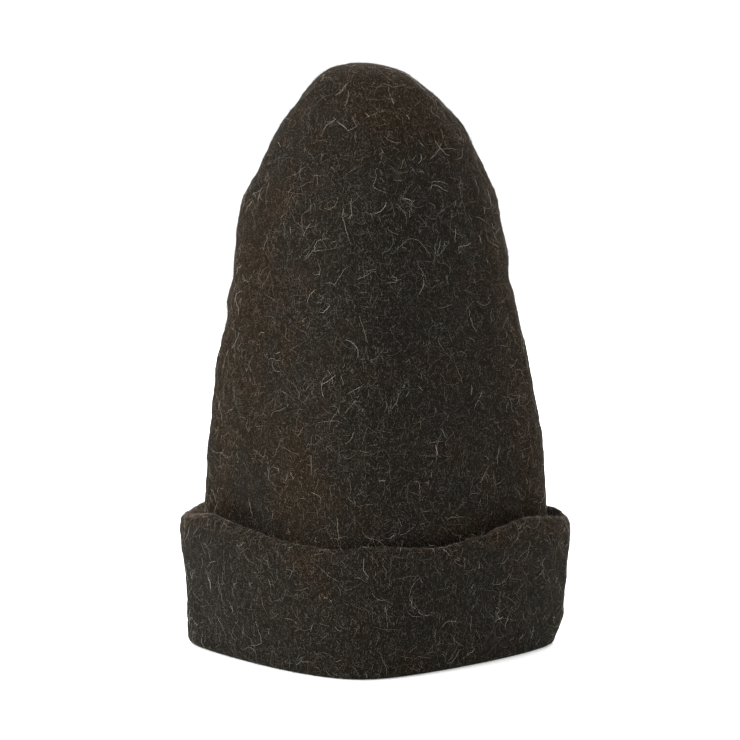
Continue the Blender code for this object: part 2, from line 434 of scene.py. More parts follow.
def wave_field(points, name):
    """Mean-free lumps: the sum over waves of sin(2 pi (direction . point) / wavelength + phase),
    divided by the square root of half their number, so that its spread is about 1."""
    field = dict(zip(WAVE_COLUMNS, WAVES[name]))
    count = field["waves"]
    rng = np.random.default_rng(field["seed"])
    direction = unit(rng.normal(size=(count, 3)))
    wavelength = np.exp(rng.uniform(math.log(field["shortest"]), math.log(field["longest"]), count))
    phase = rng.uniform(0, 2 * math.pi, count)
    total = np.zeros(points.shape[:-1])
    for way, length, start in zip(direction, wavelength, phase):
        total += np.sin(points @ (way * 2 * math.pi / length) + start)
    return total / math.sqrt(count / 2)


print("wave fields:", list(WAVES))


# %% Lumps in the form
# how high the lumps are, in mm, and the share of that which shows inside
BROAD_LUMPS = 0.35
SMALL_LUMPS = 0.16
INSIDE_LUMPS = 0.5
OUTSIDE_FADE_ROWS, INSIDE_FADE_ROWS = 6, 4

depth = BROAD_LUMPS * wave_field(smooth_form, "broad_lumps")
depth += SMALL_LUMPS * wave_field(smooth_form, "small_lumps")
row_number = np.arange(len(smooth_form))
outside_share = np.clip((first_row["fold"] - row_number) / OUTSIDE_FADE_ROWS, 0, 1)
inside_share = INSIDE_LUMPS * np.clip((row_number - first_row["inside"]) / INSIDE_FADE_ROWS, 0, 1)
depth *= (outside_share + inside_share)[:, None]
depth[0] = depth[0].mean()
depth[-1] = depth[-1].mean()
form = smooth_form + depth[..., None] * grid_normals(smooth_form)
form[0] = form[0].mean(axis=0)
form[-1] = form[-1].mean(axis=0)
print("lumps between", depth.min().round(2), "and", depth.max().round(2), "mm")


# %% [markdown]
# ## Meshes and flat maps
#
# Every mesh here is filled straight from arrays. Each also gets a flat map, so that its colours can
# be painted into a picture for programs that can't read nodes. The felt's map is its own grid laid
# out flat: columns across, rows up. The inside hardly shows, so its rows are laid closer together.

# %% A mesh from arrays
MAP_NAME = "OFBake"
INSIDE_MAP_SHARE = 0.25


def fill_mesh(name, vertices, quads, triangles, places):
    """A smooth-shaded mesh of the given quads and triangles, which are rows of vertex numbers. The
    places are the corners' points on the piece's flat map, quads first."""
    mesh = bpy.data.meshes.new(name)
    mesh.vertices.add(len(vertices))
    mesh.vertices.foreach_set("co", (vertices * MM).astype(np.float32).ravel())
    corners = np.concatenate([quads.ravel(), triangles.ravel()]).astype(np.int32)
    quad_starts = np.arange(len(quads)) * 4
    triangle_starts = len(quads) * 4 + np.arange(len(triangles)) * 3
    mesh.loops.add(len(corners))
    mesh.loops.foreach_set("vertex_index", corners)
    mesh.polygons.add(len(quads) + len(triangles))
    starts = np.concatenate([quad_starts, triangle_starts]).astype(np.int32)
    mesh.polygons.foreach_set("loop_start", starts)
    mesh.update(calc_edges=True)
    mesh.uv_layers.new(name=MAP_NAME).data.foreach_set("uv", places.astype(np.float32).ravel())
    mesh.shade_smooth()
    return mesh


def closed_grid(name, points, row_places):
    """A mesh of the grid, closed round its columns, with its first and last rows each one point. On
    the flat map a point lies at its column's share of the turn and at its row's place."""
    rows, cols = points.shape[:2]
    inner = points[1:-1].reshape(-1, 3)
    vertices = np.concatenate([inner, points[:1, 0], points[-1:, 0]])
    r, c = np.meshgrid(np.arange(1, rows - 2), np.arange(cols), indexing="ij")
    quad_rows = np.stack([r, r + 1, r + 1, r], axis=-1).reshape(-1, 4)
    quad_cols = np.stack([c, c, c + 1, c + 1], axis=-1).reshape(-1, 4)
    quads = (quad_rows - 1) * cols + quad_cols % cols
    around = np.arange(cols)
    last = (rows - 3) * cols
    tip, inner_tip = len(inner), len(inner) + 1
    top = np.stack([np.full(cols, tip), around, (around + 1) % cols], axis=-1)
    bottom = np.stack([last + around, np.full(cols, inner_tip), last + (around + 1) % cols], axis=-1)
    quad_places = np.stack([quad_cols / cols, row_places[quad_rows]], axis=-1)
    top_places = np.stack([around + 0.5, around, around + 1], axis=-1) / cols
    bottom_places = np.stack([around, around + 0.5, around + 1], axis=-1) / cols
    top_rows = np.broadcast_to(row_places[[0, 1, 1]], (cols, 3))
    bottom_rows = np.broadcast_to(row_places[[-2, -1, -2]], (cols, 3))
    pole_columns = np.concatenate([top_places, bottom_places])
    pole_places = np.stack([pole_columns, np.concatenate([top_rows, bottom_rows])], axis=-1)
    places = np.concatenate([quad_places.reshape(-1, 2), pole_places.reshape(-1, 2)])
    return fill_mesh(name, vertices, quads, np.concatenate([top, bottom]), places)


row_steps = np.linalg.norm(np.diff(form, axis=0), axis=-1).mean(axis=1)
row_steps[first_row["inside"] :] *= INSIDE_MAP_SHARE
row_places = np.concatenate([[0], np.cumsum(row_steps)]) / row_steps.sum()
body_mesh = closed_grid("felt_body", form, row_places)
body = bpy.data.objects.new("felt_body", body_mesh)
bpy.context.scene.collection.objects.link(body)
print("felt body:", len(body_mesh.vertices), "vertices,", len(body_mesh.polygons), "faces")

# %% [markdown]
# ## Where the fleece is browner
#
# A dark fleece is bleached brown by the sun at the tips of its locks, and grey-black nearer the skin.
# Carding mixes the two badly, so the felt has warm patches, from a finger to a hand wide. They are
# worked out once, as a number from 0 to 1 at each point, because both the felt and the loose hairs
# follow them.

# %% Brown patches
BROWN_COLUMNS = ("angle", "height", "amount", "spread_angle", "spread_height")
BROWN_AREAS = (
    (-168, 200, 0.95, 45, 125),
    (-117, 106, 0.85, 20, 30),
    (-96, 215, -0.40, 26, 65),
    (-50, 322, 1.60, 58, 26),
    (-90, 346, 1.30, 180, 10),
    (-4, 240, 1.25, 20, 90),
    (-8, 130, 0.85, 15, 50),
    (-40, 79, 0.90, 32, 11),
    (-3, 86, 1.10, 14, 10),
    (-174, 84, 1.60, 14, 8),
    (-115, 68, 0.50, 10, 14),
    (-160, 42, -0.80, 32, 32),
    (60, 190, 0.50, 40, 90),
    (130, 120, 0.70, 35, 60),
)
WAVE_SHARE = 0.22
BROWN_START = 0.48
BROWN_SHARPNESS = 4.0


def brown_share(points):
    """Share of brown wool: bells at the named areas plus a field of waves, and of that total t, less a
    start, the soft step 1 / (1 + exp(-sharpness * t)), which runs from 0 to 1."""
    around = np.arctan2(points[..., 1], points[..., 0])
    total = WAVE_SHARE * wave_field(points, "brown_patches")
    for values in BROWN_AREAS:
        area = dict(zip(BROWN_COLUMNS, values))
        turn_away = turned(around, area["angle"]) / area["spread_angle"]
        rise = (points[..., 2] - area["height"]) / area["spread_height"]
        total += area["amount"] * np.exp(-(turn_away**2) - rise**2)
    return 1 / (1 + np.exp(-BROWN_SHARPNESS * (total - BROWN_START)))


brown = brown_share(form)
body_brown = np.concatenate([brown[1:-1].ravel(), brown[0, :1], brown[-1, :1]])
brown_layer = body_mesh.attributes.new("brown", "FLOAT", "POINT")
brown_layer.data.foreach_set("value", body_brown.astype(np.float32))
print("brown share, mean:", body_brown.mean().round(3))


# %% Colours and nodes
def srgb(text):
    """An sRGB hex colour as linear numbers: c / 12.92 below 0.04045, else ((c + 0.055) / 1.055)^2.4."""
    part = np.array([int(text[i : i + 2], 16) for i in (1, 3, 5)]) / 255
    linear = np.where(part <= 0.04045, part / 12.92, ((part + 0.055) / 1.055) ** 2.4)
    return (*linear.tolist(), 1.0)


def node(tree, kind, settings, inputs):
    """Adds a node, sets its options, and fills its inputs with numbers or with links from outputs."""
    new = tree.nodes.new(kind)
    for name, value in settings.items():
        setattr(new, name, value)
    for name, value in inputs.items():
        if isinstance(value, bpy.types.NodeSocket):
            tree.links.new(value, new.inputs[name])
        else:
            new.inputs[name].default_value = value
    return new


def new_material(name):
    """A new material, its node tree and its Principled shader."""
    material = bpy.data.materials.new(name)
    material.use_nodes = True
    return material, material.node_tree, material.node_tree.nodes["Principled BSDF"]


def set_inputs(shader, values):
    """Gives the shader's own sockets their uniform numbers and colours."""
    for name, value in values.items():
        shader.inputs[name].default_value = value


print("sRGB #808080 is linear", round(srgb("#808080")[0], 3))


# %% [markdown]
# ## The felt's surface
#
# Real name: hand-made wool felt, undyed dark fleece. Wet rubbing leaves no thread and no grain, only
# a mat of hairs that run in all directions, so it is fully matt, with a faint pale bloom where it is
# seen edge-on because the hairs stand off the surface.
#
# A single hair is 0.03 to 0.08 mm wide, which no picture of the whole hat can show. What the eye reads
# is bundles of them a quarter of a millimetre wide, so the pattern is drawn that coarse. Each layer
# of it scatters points through space with a Voronoi texture. Every point owns a cell, and draws one
# short stroke through itself: along a random direction in the surface, with a random brightness.
# Bending the space a little beforehand turns straight strokes into curls. Between the strokes a fine
# noise makes the pits of the mat and darkens the colour in them, as painted shade between the hairs.

# %% The felt's colours
GREY_GROUND, GREY_STROKE = srgb("#6e6758"), srgb("#69665f")
BROWN_GROUND, BROWN_STROKE = srgb("#7e664a"), srgb("#72675a")
# how much of those colours comes back from the dark mat: the darkest and the lightest ground between
# the strokes, and what the brightest stroke adds; the darkest ground, in the pits, is painted shade
DARKEST_SHADED_GROUND, LIGHTEST_GROUND, BRIGHTEST_STROKE = 0.002, 0.066, 0.68

# sizes in mm; the shift gives each layer cells of its own
STROKE_COLUMNS = ("cell", "half_length", "half_width", "strength", "shift")
STROKES = (
    (0.8, 0.6, 0.08, 1.00, 7.0),
    (1.3, 1.1, 0.09, 0.80, 13.0),
    (2.2, 1.9, 0.09, 0.80, 29.0),
)
VECTOR, NUMBER, RANGE = "ShaderNodeVectorMath", "ShaderNodeMath", "ShaderNodeMapRange"
NOISE, BLEND = "ShaderNodeTexNoise", "ShaderNodeMix"
# sockets of a blend of two colours: its share, its two colours, and what comes out
SHARE, FIRST, SECOND, BLENDED = 0, 6, 7, 2

felt, tree, shader = new_material("hand_made_wool_felt")
place = node(tree, "ShaderNodeTexCoord", {}, {}).outputs["Object"]
facing = node(tree, "ShaderNodeNewGeometry", {}, {}).outputs["Normal"]
share = node(tree, "ShaderNodeAttribute", {"attribute_name": "brown"}, {}).outputs["Fac"]
print("lightest grey ground, linear:", [round(c * LIGHTEST_GROUND, 4) for c in GREY_GROUND[:3]])

# %% Strokes of matted wool
BEND_SIZE, BEND = 3.0, 1.6
# most strokes are dim and a few are bright: a random number from 0 to 1, raised to this power
RARITY = 7.0
# a stroke is full to the first share of its half-width or half-length, and gone at the second
SOFT_SIDES, SOFT_ENDS = (0.4, 1.6), (0.6, 1.0)
MIDDLE = (0.5, 0.5, 0.5)

bend = {"Vector": place, "Scale": 1 / (BEND_SIZE * MM), "Detail": 1.0}
bend = node(tree, NOISE, {}, bend)
bend = node(tree, VECTOR, {"operation": "SUBTRACT"}, {0: bend.outputs["Color"], 1: MIDDLE}).outputs[0]
bend = node(tree, VECTOR, {"operation": "SCALE"}, {0: bend, "Scale": BEND * MM}).outputs[0]
bent = node(tree, VECTOR, {"operation": "ADD"}, {0: place, 1: bend}).outputs[0]

strokes = 0.0
for values in STROKES:
    layer = dict(zip(STROKE_COLUMNS, values))
    shift = (layer["shift"] * MM,) * 3
    moved = node(tree, VECTOR, {"operation": "ADD"}, {0: bent, 1: shift}).outputs[0]
    cells = node(tree, "ShaderNodeTexVoronoi", {}, {"Vector": moved, "Scale": 1 / (layer["cell"] * MM)})
    chance, centre = cells.outputs["Color"], cells.outputs["Position"]
    offset = node(tree, VECTOR, {"operation": "SUBTRACT"}, {0: moved, 1: centre}).outputs[0]
    random_way = node(tree, VECTOR, {"operation": "SUBTRACT"}, {0: chance, 1: MIDDLE}).outputs[0]
    way = node(tree, VECTOR, {"operation": "CROSS_PRODUCT"}, {0: facing, 1: random_way}).outputs[0]
    way = node(tree, VECTOR, {"operation": "NORMALIZE"}, {0: way}).outputs[0]
    sideways = node(tree, VECTOR, {"operation": "CROSS_PRODUCT"}, {0: facing, 1: way}).outputs[0]
    across = node(tree, VECTOR, {"operation": "DOT_PRODUCT"}, {0: offset, 1: sideways}).outputs["Value"]
    across = node(tree, NUMBER, {"operation": "ABSOLUTE"}, {0: across}).outputs[0]
    full, gone = (layer["half_width"] * MM * edge for edge in SOFT_SIDES)
    core = {"Value": across, "From Min": full, "From Max": gone}
    core = node(tree, RANGE, {}, {**core, "To Min": layer["strength"], "To Max": 0.0}).outputs[0]
    along = node(tree, VECTOR, {"operation": "DOT_PRODUCT"}, {0: offset, 1: way}).outputs["Value"]
    along = node(tree, NUMBER, {"operation": "ABSOLUTE"}, {0: along}).outputs[0]
    full, gone = (layer["half_length"] * MM * edge for edge in SOFT_ENDS)
    ends = {"Value": along, "From Min": full, "From Max": gone}
    ends = node(tree, RANGE, {}, {**ends, "To Min": 1.0, "To Max": 0.0}).outputs[0]
    bright = node(tree, "ShaderNodeSeparateColor", {}, {"Color": chance}).outputs["Red"]
    bright = node(tree, NUMBER, {"operation": "POWER"}, {0: bright, 1: RARITY}).outputs[0]
    stroke = node(tree, NUMBER, {"operation": "MULTIPLY"}, {0: core, 1: ends}).outputs[0]
    stroke = node(tree, NUMBER, {"operation": "MULTIPLY"}, {0: stroke, 1: bright}).outputs[0]
    strokes = node(tree, NUMBER, {"operation": "MAXIMUM"}, {0: strokes, 1: stroke}).outputs[0]
print("stroke layers:", len(STROKES))

# %% Pits with painted shade, colour and relief of the felt
# sizes and the relief's height in mm; each noise is stretched from this range to run from 0 to 1
PIT_SIZE, PIT_NOISE = 0.38, (0.36, 0.57)
MOTTLE_SIZE, MOTTLE_NOISE, MOTTLE = 4.0, (0.3, 0.7), 0.12
RELIEF_HEIGHT, RELIEF_STRENGTH, STROKE_RELIEF = 0.25, 0.3, 2.0
ROUGH_GROUND, ROUGH_STROKE = 0.95, 0.80

# the pits' noise shapes the relief, and it also darkens the ground's colour in them as painted shade
pits_and_shade = {"Vector": bent, "Scale": 1 / (PIT_SIZE * MM), "Detail": 1.0}
pits_and_shade = node(tree, NOISE, {}, pits_and_shade)
pits_and_shade = {"Value": pits_and_shade.outputs[0], "From Min": PIT_NOISE[0], "From Max": PIT_NOISE[1]}
pits_and_shade = node(tree, RANGE, {}, pits_and_shade).outputs[0]
# the ground is darker in the pits: painted shade there, over the felt's own dark colour
ground = {"Value": pits_and_shade, "To Min": DARKEST_SHADED_GROUND, "To Max": LIGHTEST_GROUND}
ground = node(tree, RANGE, {}, ground).outputs[0]

ragged = {"Vector": place, "Scale": 1 / (MOTTLE_SIZE * MM), "Detail": 2.0}
ragged = node(tree, NOISE, {}, ragged)
ragged = {"Value": ragged.outputs[0], "From Min": MOTTLE_NOISE[0], "From Max": MOTTLE_NOISE[1]}
ragged = node(tree, RANGE, {}, {**ragged, "To Min": -MOTTLE, "To Max": MOTTLE}).outputs[0]
ragged = node(tree, NUMBER, {"operation": "ADD", "use_clamp": True}, {0: share, 1: ragged}).outputs[0]
tint = {SHARE: ragged, FIRST: GREY_GROUND, SECOND: BROWN_GROUND}
tint = node(tree, BLEND, {"data_type": "RGBA"}, tint).outputs[BLENDED]
colour = node(tree, VECTOR, {"operation": "SCALE"}, {0: tint, "Scale": ground}).outputs[0]
tint = {SHARE: ragged, FIRST: GREY_STROKE, SECOND: BROWN_STROKE}
tint = node(tree, BLEND, {"data_type": "RGBA"}, tint).outputs[BLENDED]
level = node(tree, NUMBER, {"operation": "MULTIPLY"}, {0: strokes, 1: BRIGHTEST_STROKE}).outputs[0]
stroke_colour = node(tree, VECTOR, {"operation": "SCALE"}, {0: tint, "Scale": level}).outputs[0]
colour = node(tree, VECTOR, {"operation": "ADD"}, {0: colour, 1: stroke_colour}).outputs[0]
tree.links.new(colour, shader.inputs["Base Color"])

relief = {0: strokes, 1: STROKE_RELIEF, 2: pits_and_shade}
relief = node(tree, NUMBER, {"operation": "MULTIPLY_ADD"}, relief).outputs[0]
bump = {"Strength": RELIEF_STRENGTH, "Distance": RELIEF_HEIGHT * MM, "Height": relief}
tree.links.new(node(tree, "ShaderNodeBump", {}, bump).outputs["Normal"], shader.inputs["Normal"])
matt = {"Value": strokes, "To Min": ROUGH_GROUND, "To Max": ROUGH_STROKE}
matt = node(tree, RANGE, {}, matt).outputs[0]
tree.links.new(matt, shader.inputs["Roughness"])
set_inputs(shader, {"Metallic": 0.0, "IOR": 1.45, "Specular IOR Level": 0.03})
set_inputs(shader, {"Sheen Weight": 0.02, "Sheen Roughness": 0.4, "Sheen Tint": srgb("#e6dfd2")})
body_mesh.materials.append(felt)
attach(body, "root")
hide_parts("felt_hat")
print("felt material nodes:", len(tree.nodes))

# %% [markdown]
# ## Loose hairs
#
# The hairs that came loose are what makes this felt look hand made: short curls that lie on the
# surface, longer pale guard hairs that wander over it, and fuzz that stands off and softens every
# edge. A hair system would give them, but it leaves strands that other programs can't read, so each
# hair is a thin closed tube with three sides.
#
# Each hair walks over the grid. It starts at a random place with a random heading, and at each step
# it turns a little, moves on by one step length, and is kept in the surface's tangent plane. All
# hairs take the same step at once, as whole arrays.

# %% Reading the grid between its points
row_slope = np.gradient(form, axis=0)
col_slope = (np.roll(form, -1, axis=1) - np.roll(form, 1, axis=1)) / 2
form_normals = grid_normals(form)
lookup = np.concatenate([form, form_normals, row_slope, col_slope], axis=-1)
# how far under the number of rows a place stays, so that there is always a row beyond it
LAST_ROW_MARGIN = 1.001


def read_grid(rows, cols):
    """Place, normal, and the slopes along rows and columns at fractional grid places, each a blend of
    the four nearest grid points by their shares. A row past the tip comes down the other side."""
    over = rows < 0
    rows = np.clip(np.abs(rows), 0, len(form) - LAST_ROW_MARGIN)
    cols = np.where(over, cols + COLUMNS / 2, cols) % COLUMNS
    r, c = rows.astype(int), cols.astype(int) % COLUMNS
    fr, fc = (rows - r)[:, None], (cols - np.floor(cols))[:, None]
    after = (c + 1) % COLUMNS
    near = lookup[r, c] * (1 - fc) + lookup[r, after] * fc
    far = lookup[r + 1, c] * (1 - fc) + lookup[r + 1, after] * fc
    read = near * (1 - fr) + far * fr
    normal = read[:, 3:6] / np.linalg.norm(read[:, 3:6], axis=1, keepdims=True)
    return rows, cols, read[:, :3], normal, read[:, 6:9], read[:, 9:]


# hairs start only where they show: neither inside nor deep in the gap between crown and cuff
GAP_HEIGHT = 62.0
BACK_ROWS_SEEN = 2

cell_area = np.linalg.norm(np.cross(row_slope, col_slope), axis=-1)
on_crown = row_number < first_row["valley"]
past_gap = row_number >= first_row["rim"] - BACK_ROWS_SEEN
on_cuff = past_gap & (row_number < first_row["fold"] + TURN_ROWS)
in_gap = on_crown[:, None] & (form[..., 2] < GAP_HEIGHT)
shown_area = cell_area * (on_crown | on_cuff)[:, None] * ~in_gap
print("outer surface, cm2:", round(float(shown_area.sum()) / 100))


# %% Walking over the felt
# at each step a hair keeps a share of its bend and gains a random one, as a share of its curl, so
# that it waves to and fro; no hair bends more than the tightest, in radians per mm, except at a
# kink, whose usual angle is in radians
KEPT, WANDER = 0.7, 0.8
TIGHTEST = 0.30
KINK_ANGLE = 1.0
# above 0, more hairs run up and down than round the hat, as the hands left them
COMBED = 0.2
# near the tip the columns crowd together, so a step there may pass this many at most
MOST_COLUMNS = 25


def walk(rng, count, steps, length, curl, kinks, weight):
    """Paths of hairs on the surface. The start is drawn with a chance equal to each cell's area times
    its weight. A step turns the heading t by step * bend in the tangent plane, and by a sharp kink
    with the chance kinks, then moves by dr rows and dc columns, the solution of
    dr * row_slope + dc * col_slope = step * t."""
    chance = (shown_area * weight).ravel()
    picked = rng.choice(chance.size, count, p=chance / chance.sum())
    rows = picked // COLUMNS + rng.random(count)
    cols = picked % COLUMNS + rng.random(count)
    rows, cols, point, normal, by_row, by_col = read_grid(rows, cols)
    spin = rng.uniform(0, 2 * math.pi, count)[:, None]
    spin = spin - COMBED * np.sin(2 * spin) / 2
    side = unit(by_row)
    heading = np.cos(spin) * side + np.sin(spin) * np.cross(normal, side)
    step = length / steps
    bend = rng.normal(0, 1, count) * curl
    points, normals = [point], [normal]
    for _ in range(steps):
        bend = KEPT * bend + WANDER * curl * rng.normal(0, 1, count)
        bend = np.clip(bend, -TIGHTEST, TIGHTEST)
        sharp = (rng.random(count) < kinks) * rng.normal(0, KINK_ANGLE, count)
        angle = (bend * step + sharp)[:, None]
        heading = np.cos(angle) * heading + np.sin(angle) * np.cross(normal, heading)
        heading = unit(heading - normal * (heading * normal).sum(axis=1, keepdims=True))
        rr, rc, cc = (by_row * by_row).sum(1), (by_row * by_col).sum(1), (by_col * by_col).sum(1)
        hr, hc = (heading * by_row).sum(1), (heading * by_col).sum(1)
        solid = np.maximum(rr * cc - rc**2, SMALLEST_CELL)
        rows = rows + step * (hr * cc - hc * rc) / solid
        leap = step * (hc * rr - hr * rc) / solid
        cols = cols + np.clip(leap, -MOST_COLUMNS, MOST_COLUMNS)
        rows, cols, point, normal, by_row, by_col = read_grid(rows, cols)
        points.append(point)
        normals.append(normal)
    return np.stack(points, axis=1), np.stack(normals, axis=1)


print("tightest curl, mm across:", round(2 / TIGHTEST, 1))

# %% [markdown]
# A tube's faces are listed so that they point outwards: seen from outside, each one's corners run
# anticlockwise. On the flat map every hair is a tiny patch, and where two patches lie on each other
# their hairs have the same colour, so that the map is no more than a chart of colours.

# %% Tubes along the walks
# half the width of a hair's patch on the flat map, which is 1 wide
PATCH = 0.006
TUBE_SIDES = 3
RING_ANGLES = 2 * math.pi * np.arange(TUBE_SIDES) / TUBE_SIDES + math.pi / 2
# how much thinner a hair's ends are than its middle
TAPER = 0.5
# hairs under the fold lie on the table instead of passing through it
LOWEST = 0.1


def tube_faces(stations):
    """Quads and end triangles of one tube by vertex number: rings of TUBE_SIDES from the second to the
    last but one station, then the first point and the last."""
    ring, side = np.meshgrid(np.arange(stations - 3), np.arange(TUBE_SIDES), indexing="ij")
    here, beside = TUBE_SIDES * ring + side, TUBE_SIDES * ring + (side + 1) % TUBE_SIDES
    quads = np.stack([here, beside, beside + TUBE_SIDES, here + TUBE_SIDES], axis=-1).reshape(-1, 4)
    around = np.arange(TUBE_SIDES)
    after = (around + 1) % TUBE_SIDES
    last = TUBE_SIDES * (stations - 3)
    first_end = np.full(TUBE_SIDES, last + TUBE_SIDES)
    root = np.stack([after, around, first_end], axis=-1)
    tip = np.stack([last + around, last + after, first_end + 1], axis=-1)
    return quads, np.concatenate([root, tip])


def hair_places(tone, warmth, stations, faces):
    """Flat map of the hairs: a corner lies at (tone, warmth) + PATCH * (cos(ring angle), height), with
    the height running from -1 at a hair's root to 1 at its tip."""
    middle = PATCH + (1 - 2 * PATCH) * np.stack([tone, warmth], axis=-1)
    across = np.append(np.tile(np.cos(RING_ANGLES), stations - 2), (0, 0))
    station = np.append(np.repeat(np.arange(1, stations - 1), TUBE_SIDES), (0, stations - 1))
    corner = np.stack([across, 2 * station / (stations - 1) - 1], axis=-1)
    return (middle[:, None, None] + PATCH * corner[faces]).reshape(-1, 2)


def strands(name, points, normals, radius, tone, warmth, lift):
    """Closed three-sided tubes along the paths. A ring's corners are at point + r (cos(a) side +
    sin(a) normal) for three angles a, and both ends close on one point. With s from 0 to 1 along the
    hair, r is radius * (1 - TAPER * |2 s - 1|^3)."""
    count, stations = points.shape[:2]
    middle = points + lift[..., None] * normals
    middle[..., 2] = np.maximum(middle[..., 2], LOWEST)
    forward = unit(np.gradient(middle, axis=1))
    side = unit(np.cross(normals, forward))
    up = np.cross(forward, side)
    thinning = 1 - TAPER * np.abs(np.linspace(-1, 1, stations)) ** 3
    thick = (radius[:, None] * thinning)[..., None, None]
    cos, sin = np.cos(RING_ANGLES)[:, None], np.sin(RING_ANGLES)[:, None]
    spread = thick * (cos * side[:, :, None] + sin * up[:, :, None])
    rings = (middle[:, 1:-1, None] + spread[:, 1:-1]).reshape(count, -1, 3)
    vertices = np.concatenate([rings, middle[:, :1], middle[:, -1:]], axis=1)
    per_hair = vertices.shape[1]
    quads, ends = tube_faces(stations)
    places = [hair_places(tone, warmth, stations, faces) for faces in (quads, ends)]
    base = (np.arange(count) * per_hair)[:, None, None]
    all_quads, all_ends = (quads + base).reshape(-1, 4), (ends + base).reshape(-1, 3)
    mesh = fill_mesh(name, vertices.reshape(-1, 3), all_quads, all_ends, np.concatenate(places))
    for label, values in (("tone", tone), ("warmth", warmth)):
        layer = mesh.attributes.new(label, "FLOAT", "POINT")
        layer.data.foreach_set("value", np.repeat(values, per_hair).astype(np.float32))
    print(name, count, "hairs,", len(all_quads) * 2 + len(all_ends), "triangles")
    return mesh


print("shortest hair, with 4 stations:", [len(faces) for faces in tube_faces(4)], "faces")


# %% [markdown]
# ## The hairs' colours
#
# Real name: undyed wool, which is keratin. A hair is scaly, so it is only half glossy. Most hairs of a
# dark fleece are nearly black, some are sun-bleached brown, and the coarse guard hairs are pale. Each
# hair carries two numbers, its tone and its warmth, so one material colours thousands of hairs
# differently.

# %% Wool hair materials
COOL_HAIR, WARM_HAIR = srgb("#fdfdfc"), srgb("#fff6ee")
MIDDLE_TONE = 0.5


def wool_hair(name, dark, middle, pale):
    """Keratin fibre, undyed: half matt, with its colour read from each hair's own tone and warmth."""
    material, tree, shader = new_material(name)
    tone = node(tree, "ShaderNodeAttribute", {"attribute_name": "tone"}, {}).outputs["Fac"]
    ramp = node(tree, "ShaderNodeValToRGB", {}, {"Fac": tone})
    ramp.color_ramp.elements[0].color = srgb(dark)
    ramp.color_ramp.elements[1].color = srgb(pale)
    ramp.color_ramp.elements.new(MIDDLE_TONE).color = srgb(middle)
    warmth = node(tree, "ShaderNodeAttribute", {"attribute_name": "warmth"}, {}).outputs["Fac"]
    tint = {SHARE: warmth, FIRST: COOL_HAIR, SECOND: WARM_HAIR}
    tint = node(tree, BLEND, {"data_type": "RGBA"}, tint).outputs[BLENDED]
    colour = {0: ramp.outputs["Color"], 1: tint}
    colour = node(tree, VECTOR, {"operation": "MULTIPLY"}, colour).outputs[0]
    tree.links.new(colour, shader.inputs["Base Color"])
    set_inputs(shader, {"Metallic": 0.0, "IOR": 1.55, "Specular IOR Level": 0.15, "Roughness": 0.6})
    return material


# darkest, middle and palest hair of each wool
WOOLS = {
    "grey": wool_hair("undyed_grey_wool", "#171614", "#4d4a44", "#aca89f"),
    "brown": wool_hair("sun_browned_wool", "#1e1a15", "#5b4f43", "#b7a99a"),
    "pale": wool_hair("pale_guard_hair", "#4b4842", "#8b867b", "#dfdacf"),
}
print("wools:", list(WOOLS))

# %% [markdown]
# ## Layers of hair
#
# A fleece has a fine undercoat, which mats first and lies half sunk, and coarse hairs that stay loose
# on top. So the hair is built in layers, from short and dark to long and pale, one mesh each.

# %% Table of the layers
# lengths are in mm; a hair's habit is how it grew and how firmly it is matted
HAIR_COLUMNS = ("name", "wool", "where", "seed", "count", "steps", "shortest", "longest", "habit")
HAIRS = (
    ("matted_grey_hairs", "grey", "all", 31, 8500, 3, 1.6, 5.0, "matted"),
    ("matted_brown_hairs", "brown", "all", 32, 8500, 3, 1.6, 5.0, "matted"),
    ("curled_grey_hairs", "grey", "all", 33, 6400, 6, 3.5, 11.0, "curled"),
    ("curled_brown_hairs", "brown", "all", 38, 4200, 6, 3.5, 11.0, "curled"),
    ("loose_pale_hairs", "pale", "all", 34, 3200, 8, 4.0, 18.0, "loose"),
    ("edge_fuzz", "brown", "all", 35, 6500, 3, 2.0, 4.5, "upright"),
    ("rim_fuzz", "brown", "rim", 36, 5000, 3, 2.5, 7.0, "standing"),
    ("long_curls", "pale", "all", 37, 360, 20, 12.0, 34.0, "wandering"),
)
# curl is in radians per mm, kinks is the chance of a kink at each step, and thinnest, thickest,
# arch, dip and tail are in mm; most hairs are dark and a few are pale, so dark_pull and pale_pull
# are the two powers of a beta distribution of tones
WALK_COLUMNS = ("curl", "kinks")
BUILD_COLUMNS = ("thinnest", "thickest", "arch", "dip", "tail", "dark_pull", "pale_pull")
HABIT_COLUMNS = WALK_COLUMNS + BUILD_COLUMNS
HABITS = {
    "matted": (0.22, 0.20, 0.05, 0.11, 0.4, 0.15, 0.6, 0.5, 2.0),
    "curled": (0.14, 0.12, 0.05, 0.11, 0.5, 0.22, 0.9, 0.8, 1.8),
    "loose": (0.09, 0.10, 0.05, 0.12, 0.7, 0.28, 1.4, 0.8, 1.6),
    "upright": (0.22, 0.15, 0.06, 0.11, 0.7, 0.0, 3.2, 0.6, 2.0),
    "standing": (0.20, 0.15, 0.06, 0.12, 0.7, 0.0, 3.8, 0.7, 1.8),
    "wandering": (0.08, 0.14, 0.05, 0.10, 0.6, 0.25, 1.2, 1.0, 1.4),
}
# the usual height over the felt and the length of a dip, in mm; how far the rim's fuzz spreads
HAIR_BASE = 0.10
DIP_LENGTH = 5.0
RIM_FUZZ_ROWS = 5.0
# short hairs, thin hairs and low tails are the commonest: a random number from 0 to 1, raised to
# these powers
LENGTH_PULL, WIDTH_PULL, TAIL_PULL = 1.6, 2.0, 3
WARMTH_SPREAD = 0.12
# how far hairs crowd into clumps, and the least share of them left between clumps
CLUMPS, LEAST_CLUMP = 0.05, 0.15
# hairs of the other colour that carding left in a patch
STRAY_GREY, STRAY_BROWN = 0.15, 0.06


